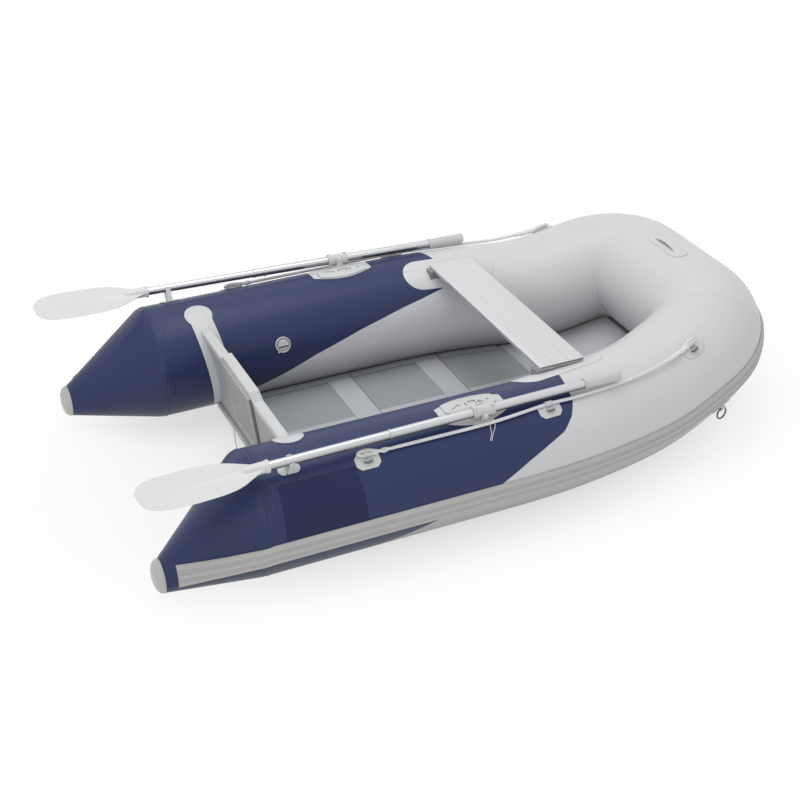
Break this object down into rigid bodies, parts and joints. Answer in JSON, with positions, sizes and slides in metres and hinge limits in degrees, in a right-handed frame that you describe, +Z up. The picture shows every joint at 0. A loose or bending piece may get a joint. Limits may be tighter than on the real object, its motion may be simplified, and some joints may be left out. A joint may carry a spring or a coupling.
{
  "type": "inflatable rowing boat",
  "caption": "Inflatable rowing tender with navy and light grey tubes, tapered sterns, hard transom, boarded floor, thwart and oars that swing out on rowlocks",
  "frame": {"origin": "on the ground in the middle of the whole outline", "axes": "+X to the bow, +Y to port, +Z up"},
  "size_m": [2.2546, 1.3354, 0.4966],
  "materials": {
    "side_tube_fabric": "satin coated fabric, navy aft and light grey forward",
    "navy_fabric": "satin coated fabric, navy",
    "pale_fabric": "satin coated fabric, light grey",
    "strake_rubber": "matte ribbed, warm grey",
    "light_plastic": "moulded, light grey",
    "dark_plastic": "moulded, near black",
    "shaft_aluminium": "drawn, bright",
    "grip_plastic": "moulded, grey",
    "blade_plastic": "moulded, white",
    "rope": "braided, white",
    "string": "thin braid, white",
    "valve_plastic": "moulded, light grey",
    "ring_steel": "round wire",
    "floor_panel": "fine grained, mid grey",
    "floor_joiner": "fine grained, pale grey",
    "floor_rail": "smooth, pale grey",
    "bottom_fabric": "coated fabric, mid grey",
    "transom_panel": "smooth, pale grey",
    "transom_cap": "smooth, near white",
    "motor_pad": "ribbed, warm grey",
    "seat_aluminium": "grooved, brushed"
  },
  "bodies": {
    "hull": {"air_valve_port": "valve_plastic", "air_valve_starboard": "valve_plastic", "bow_handle": "pale_fabric", "bow_tube": "pale_fabric", "drain_plug": "light_plastic", "drain_string": "string", "end_cap_port": "light_plastic", "end_cap_starboard": "light_plastic", "floor_board_1": "floor_panel", "floor_board_2": "floor_panel", "floor_board_3": "floor_panel", "floor_board_bow": "floor_panel", "floor_fabric": "bottom_fabric", "floor_joiners": "floor_joiner", "floor_rails": "floor_rail", "lifeline_port": "rope", "lifeline_starboard": "rope", "motor_pad": "motor_pad", "oar_clip_port": "light_plastic", "oar_clip_starboard": "light_plastic", "rope_anchors_port": "light_plastic", "rope_anchors_starboard": "light_plastic", "rowlock_base_port": "light_plastic", "rowlock_base_starboard": "light_plastic", "rowlock_lanyard": "string", "seat_hook_port": "dark_plastic", "seat_hook_starboard": "dark_plastic", "seat_patch_port": "pale_fabric", "seat_patch_starboard": "pale_fabric", "seat_plank": "seat_aluminium", "side_tube_port": "side_tube_fabric", "side_tube_starboard": "side_tube_fabric", "stern_cone_port": "navy_fabric", "stern_cone_starboard": "navy_fabric", "strake_port": "strake_rubber", "strake_starboard": "strake_rubber", "tow_patch_port": "pale_fabric", "tow_patch_starboard": "pale_fabric", "tow_ring_port": "ring_steel", "tow_ring_starboard": "ring_steel", "transom_board": "transom_panel", "transom_flange_port": "light_plastic", "transom_flange_starboard": "light_plastic", "transom_sill": "light_plastic", "transom_top_cap": "transom_cap"},
    "oar_port": {"oar_blade_port": "blade_plastic", "oar_collar_port": "light_plastic", "oar_grip_port": "grip_plastic", "oar_shaft_aft_port": "shaft_aluminium", "oar_shaft_fore_port": "shaft_aluminium", "rowlock_bolt_port": "light_plastic", "rowlock_swivel_port": "light_plastic"},
    "oar_starboard": {"oar_blade_starboard": "blade_plastic", "oar_collar_starboard": "light_plastic", "oar_grip_starboard": "grip_plastic", "oar_shaft_aft_starboard": "shaft_aluminium", "oar_shaft_fore_starboard": "shaft_aluminium", "rowlock_bolt_starboard": "light_plastic", "rowlock_swivel_starboard": "light_plastic"}
  },
  "joints": [
    {"name": "oar_swing_port", "type": "hinge", "parent": "hull", "child": "oar_port", "pos_m": [-0.0775, 0.54653, 0.38803], "axis": [0, -0.342, -0.9397], "range_deg": [0, 125]},
    {"name": "oar_swing_starboard", "type": "hinge", "parent": "hull", "child": "oar_starboard", "pos_m": [-0.0775, -0.54653, 0.38803], "axis": [0, -0.342, 0.9397], "range_deg": [0, 125]}
  ]
}
